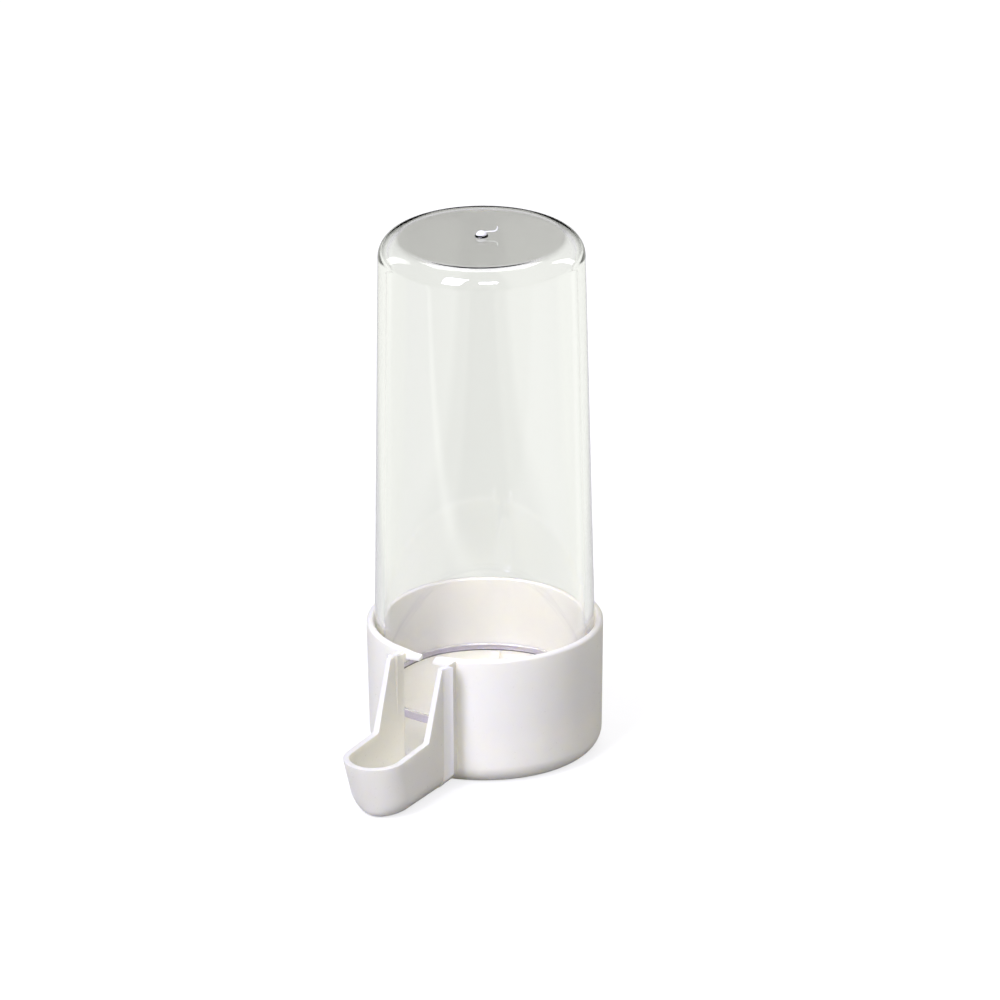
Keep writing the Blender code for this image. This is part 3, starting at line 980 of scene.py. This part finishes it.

# %% [markdown]
# ## Floor
# The object stands on a white table, seen as plain white, and yet the clear tube shows darker
# surroundings, so no single floor colour fits. Panels round the object could give that, but they
# would stand in the picture. Instead a Light Path node tells the rays apart. The camera sees a white
# floor that keeps the object's shadow. The rest is painted light that shows only in the tube: rays
# through the tube see a slightly grey table, and mirrored rays see a painted front edge with a
# painted bright strip along it.

# %% Floor plane
FLOOR_SIZE = 6.0
FLOOR_GAP = 0.03 * MM
deselect_all()
bpy.ops.mesh.primitive_plane_add(size=FLOOR_SIZE, location=(0, 0, -FLOOR_GAP))
floor = bpy.context.object
floor.name = "studio_floor"
print(floor.name, "lies", round(FLOOR_GAP / MM, 2), "mm below the cup's foot")

# %% Floor: kinds of rays
paper, tree = new_material("white_table")
path = node(tree, "ShaderNodeLightPath").outputs
bounced = node(tree, "ShaderNodeMath", {
    0: path["Diffuse Depth"], 1: 1.0,
}, operation="MINIMUM").outputs["Value"]
direct = node(tree, "ShaderNodeMath", {
    0: 1.0, 1: bounced,
}, operation="SUBTRACT").outputs["Value"]
through = node(tree, "ShaderNodeMath", {
    0: path["Is Transmission Ray"], 1: direct,
}, operation="MULTIPLY").outputs["Value"]
mirrored_ray = node(tree, "ShaderNodeMath", {
    0: path["Is Glossy Ray"], 1: path["Is Transmission Ray"],
}, operation="SUBTRACT", use_clamp=True).outputs["Value"]
mirrored_ray = node(tree, "ShaderNodeMath", {
    0: mirrored_ray, 1: direct,
}, operation="MULTIPLY").outputs["Value"]
print("rays are told apart by", len(tree.nodes), "nodes")

# %% Floor: zones of the table
# Distances from the object's middle, towards the camera and to its right. The rear and the left end
# fade out over the width of the cup. The wings lie further out, on both sides.
FADE_HALF = 25 * MM
WING_START = 85 * MM
WING_END = 110 * MM
place = node(tree, "ShaderNodeTexCoord").outputs["Object"]
ahead = node(tree, "ShaderNodeVectorMath", {
    0: place, 1: (math.sin(CAMERA_AZIMUTH), -math.cos(CAMERA_AZIMUTH), 0.0),
}, operation="DOT_PRODUCT").outputs["Value"]
across = node(tree, "ShaderNodeVectorMath", {
    0: place, 1: (math.cos(CAMERA_AZIMUTH), math.sin(CAMERA_AZIMUTH), 0.0),
}, operation="DOT_PRODUCT").outputs["Value"]
wide = node(tree, "ShaderNodeMath", {0: across, 1: 2.0}, operation="POWER").outputs["Value"]
rear, left_end = [node(tree, "ShaderNodeMapRange", {
    "Value": way, "From Min": -FADE_HALF, "From Max": FADE_HALF, "To Min": 1.0, "To Max": 0.0,
}).outputs["Result"] for way in (ahead, across)]
wings = node(tree, "ShaderNodeMapRange", {
    "Value": wide, "From Min": WING_START**2, "From Max": WING_END**2,
}).outputs["Result"]
rear_wings = node(tree, "ShaderNodeMath", {
    0: rear, 1: wings,
}, operation="MULTIPLY").outputs["Value"]
print("wings start", round(WING_START / MM), "mm to either side")

# %% Floor: painted reflections that mirrored rays see
# Painted reflections: mirrored rays see the table lighter than what lies beyond a curved front edge.
# The strip along that edge glows at its left end, a painted highlight, and the wings behind the
# object glow too, in place of their grey.
TABLE_EDGE = 167 * MM
TABLE_EDGE_BLUR = 10 * MM
TABLE_EDGE_CURVE = 0.5
TABLE_STRIP = 22 * MM
TABLE_GREY = 0.72
BEYOND_GREY = 0.35
edge = node(tree, "ShaderNodeMath", {
    0: wide, 1: -TABLE_EDGE_CURVE, 2: ahead,
}, operation="MULTIPLY_ADD").outputs["Value"]
painted_edge_grey = node(tree, "ShaderNodeMapRange", {
    "Value": edge, "To Min": TABLE_GREY, "To Max": BEYOND_GREY,
    "From Min": TABLE_EDGE - TABLE_EDGE_BLUR, "From Max": TABLE_EDGE + TABLE_EDGE_BLUR,
}).outputs["Result"]
painted_edge_grey = node(tree, "ShaderNodeMix", {
    "Factor": rear_wings, NUMBER_A: painted_edge_grey, NUMBER_B: 0.0,
}, data_type="FLOAT").outputs[MIXED_NUMBER]
painted_strip_glow = node(tree, "ShaderNodeMath", {
    0: edge, 1: TABLE_EDGE - TABLE_STRIP,
}, operation="SUBTRACT").outputs["Value"]
painted_strip_glow = node(tree, "ShaderNodeMath", {0: painted_strip_glow}, operation="ABSOLUTE").outputs["Value"]
painted_strip_glow = node(tree, "ShaderNodeMapRange", {
    "Value": painted_strip_glow, "From Min": 0.0, "From Max": TABLE_STRIP, "To Min": 1.0, "To Max": 0.0,
}).outputs["Result"]
painted_strip_glow = node(tree, "ShaderNodeMath", {
    0: painted_strip_glow, 1: left_end,
}, operation="MULTIPLY").outputs["Value"]
painted_strip_glow = node(tree, "ShaderNodeMath", {
    0: painted_strip_glow, 1: rear_wings,
}, operation="MAXIMUM").outputs["Value"]
print("table edge", round(TABLE_EDGE / MM), "mm in front of the tube's axis")

# %% Floor: painted levels that rays through the tube see
# Painted light and shade seen through the tube: the table is a little lighter to the right. Rays
# that were also mirrored on their way see the floor in front darker, and the wings are white to all
# of them.
SEEN_LEFT = 0.885
SEEN_RIGHT = 0.945
FRONT_DARKER = 0.58
sideways = node(tree, "ShaderNodeMapRange", {
    "Value": across, "From Min": -FADE_HALF, "From Max": FADE_HALF,
    "To Min": SEEN_LEFT, "To Max": SEEN_RIGHT,
}).outputs["Result"]
in_front = node(tree, "ShaderNodeMapRange", {
    "Value": ahead, "From Min": -FADE_HALF, "From Max": FADE_HALF,
    "To Min": 0.0, "To Max": -FRONT_DARKER,
}).outputs["Result"]
in_tube = node(tree, "ShaderNodeMath", {
    0: path["Glossy Depth"], 1: 1.0,
}, operation="MINIMUM").outputs["Value"]
in_front = node(tree, "ShaderNodeMath", {
    0: in_front, 1: in_tube, 2: 1.0,
}, operation="MULTIPLY_ADD").outputs["Value"]
painted_level_seen = node(tree, "ShaderNodeMath", {
    0: sideways, 1: in_front,
}, operation="MULTIPLY").outputs["Value"]
painted_level_seen = node(tree, "ShaderNodeMix", {
    "Factor": wings, NUMBER_A: painted_level_seen, NUMBER_B: 1.0,
}, data_type="FLOAT").outputs[MIXED_NUMBER]
painted_level_seen = node(tree, "ShaderNodeMath", {
    0: painted_level_seen, 1: through,
}, operation="MULTIPLY").outputs["Value"]
print("seen through the tube:", SEEN_LEFT, "to", SEEN_RIGHT)

# %% Floor: the table's material
# White paint on a board: matt to the camera, with a faint sheen where it is mirrored. For the
# camera a glow lifts the lit grey to white, and the grey keeps the shadow.
CAMERA_GLOW = 0.76
CAMERA_GREY = 0.35
BOUNCED_GREY = 0.27
TABLE_SHEEN = 0.12
# The painted levels for mirrored rays and for rays through the tube glow here, though the floor is
# no lamp.
painted_level_seen = node(tree, "ShaderNodeMath", {
    0: painted_strip_glow, 1: mirrored_ray, 2: painted_level_seen,
}, operation="MULTIPLY_ADD").outputs["Value"]
painted_glow_seen = node(tree, "ShaderNodeEmission", {"Color": colour("#FDFFF7"), "Strength": painted_level_seen})
own = node(tree, "ShaderNodeMath", {
    0: path["Is Camera Ray"], 1: CAMERA_GLOW,
}, operation="MULTIPLY")
glow = node(tree, "ShaderNodeEmission", {"Strength": own.outputs["Value"]})
glows = node(tree, "ShaderNodeAddShader", {
    0: glow.outputs["Emission"], 1: painted_glow_seen.outputs["Emission"],
})
grey = node(tree, "ShaderNodeMath", {
    0: path["Is Camera Ray"], 1: CAMERA_GREY,
}, operation="MULTIPLY")
grey = node(tree, "ShaderNodeMath", {
    0: bounced, 1: BOUNCED_GREY, 2: grey.outputs["Value"],
}, operation="MULTIPLY_ADD")
# Mirrored rays also get the painted grey of the edge zones.
grey = node(tree, "ShaderNodeMath", {
    0: mirrored_ray, 1: painted_edge_grey, 2: grey.outputs["Value"],
}, operation="MULTIPLY_ADD")
plain = node(tree, "ShaderNodeBsdfDiffuse", {"Color": grey.outputs["Value"]})
both = node(tree, "ShaderNodeAddShader", {0: plain.outputs["BSDF"], 1: glows.outputs["Shader"]})
polish = node(tree, "ShaderNodeBsdfGlossy", {"Roughness": 0.18})
sheen = node(tree, "ShaderNodeMath", {0: mirrored_ray, 1: TABLE_SHEEN}, operation="MULTIPLY")
table = node(tree, "ShaderNodeMixShader", {
    0: sheen.outputs["Value"], 1: both.outputs["Shader"], 2: polish.outputs["BSDF"],
})
node(tree, "ShaderNodeOutputMaterial", {"Surface": table.outputs["Shader"]})
floor.data.materials.append(paper)
print(paper.name, "has", len(tree.nodes), "nodes")

# %% [markdown]
# ## World
# The world is the white room round the table. The camera and rays through the tube see it white.
# Mirrored rays see almost nothing of it, so that the lamps alone draw the highlights, and bounced
# light gets a low, slightly warm level that fills the shadows. An image of a studio could light the
# scene too, but these plain levels can be read and changed here.

# %% World
SKY_LIGHT = 0.2
SKY_MIRRORED = 0.02
world = bpy.data.worlds.new("studio")
bpy.context.scene.world = world
world.use_nodes = True
tree = world.node_tree
tree.nodes.clear()
path = node(tree, "ShaderNodeLightPath").outputs
bounced = node(tree, "ShaderNodeMath", {0: path["Diffuse Depth"], 1: 1.0}, operation="MINIMUM")
seen = node(tree, "ShaderNodeMath", {
    0: path["Is Camera Ray"], 1: path["Is Transmission Ray"],
}, operation="MAXIMUM")
seen = node(tree, "ShaderNodeMath", {
    0: seen.outputs["Value"], 1: SKY_MIRRORED,
}, operation="MAXIMUM")
level = node(tree, "ShaderNodeMix", {
    "Factor": bounced.outputs["Value"], NUMBER_A: seen.outputs["Value"], NUMBER_B: SKY_LIGHT,
}, data_type="FLOAT")
tint = node(tree, "ShaderNodeMix", {
    "Factor": bounced.outputs["Value"], COLOUR_A: WHITE, COLOUR_B: colour("#FFFAF6"),
}, data_type="RGBA")
sky = node(tree, "ShaderNodeBackground", {
    "Color": tint.outputs[MIXED_COLOUR], "Strength": level.outputs[MIXED_NUMBER],
})
node(tree, "ShaderNodeOutputWorld", {"Surface": sky.outputs["Background"]})
print("sky gives", SKY_LIGHT, "to bounced light")

# %% [markdown]
# ## Lamps
# The strong softbox stands in front of the spout and a weaker one near the camera. They shade the
# cup from white to grey, and each leaves a bright patch on the tube's shoulder. One large lamp would
# be simpler, but it would leave one patch. A third softbox lights the object from above and behind,
# and two weak panels keep the cup's sides and back from going dark.

# %% Lamps
LAMP_AIM = Vector((0.0, 0.0, 50 * MM))
COOL = "#ECEBFF"
NEUTRAL = "#FFFFFF"


def softbox(name, azimuth, elevation, distance, size, power, tint):
    """An area lamp on a sphere round the object; azimuth 0 is in front of the spout."""
    around = math.radians(azimuth)
    rise = math.radians(elevation)
    from_middle = Vector((
        math.sin(around) * math.cos(rise),
        -math.cos(around) * math.cos(rise),
        math.sin(rise),
    ))
    bpy.ops.object.light_add(type="AREA", location=LAMP_AIM + distance * from_middle)
    lamp = bpy.context.object
    lamp.name = name
    lamp.rotation_euler = from_middle.to_track_quat("Z", "Y").to_euler()
    lamp.data.shape = "RECTANGLE"
    lamp.data.size, lamp.data.size_y = size
    lamp.data.energy = power
    lamp.data.color = colour(tint)[:3]
    print(name, "at", [round(value, 2) for value in lamp.location])


softbox("left_softbox", -5, 37, 1.3, (0.46, 0.85), 18.7, COOL)
softbox("front_softbox", 38, 37, 1.3, (0.41, 0.2), 5.95, COOL)
softbox("back_softbox", 210, 60, 1.2, (0.8, 0.35), 3.0, NEUTRAL)
softbox("left_panel", -95, 25, 1.3, (0.3, 0.8), 1.6, NEUTRAL)
softbox("right_panel", 150, 25, 1.3, (0.2, 0.8), 2.0, NEUTRAL)

# %% [markdown]
# ## View settings
# A filmic view would bend the colours, so the Standard transform is chosen, which shows them about
# as they are written.

# %% View settings
bpy.context.scene.view_settings.view_transform = "Standard"
deselect_all()
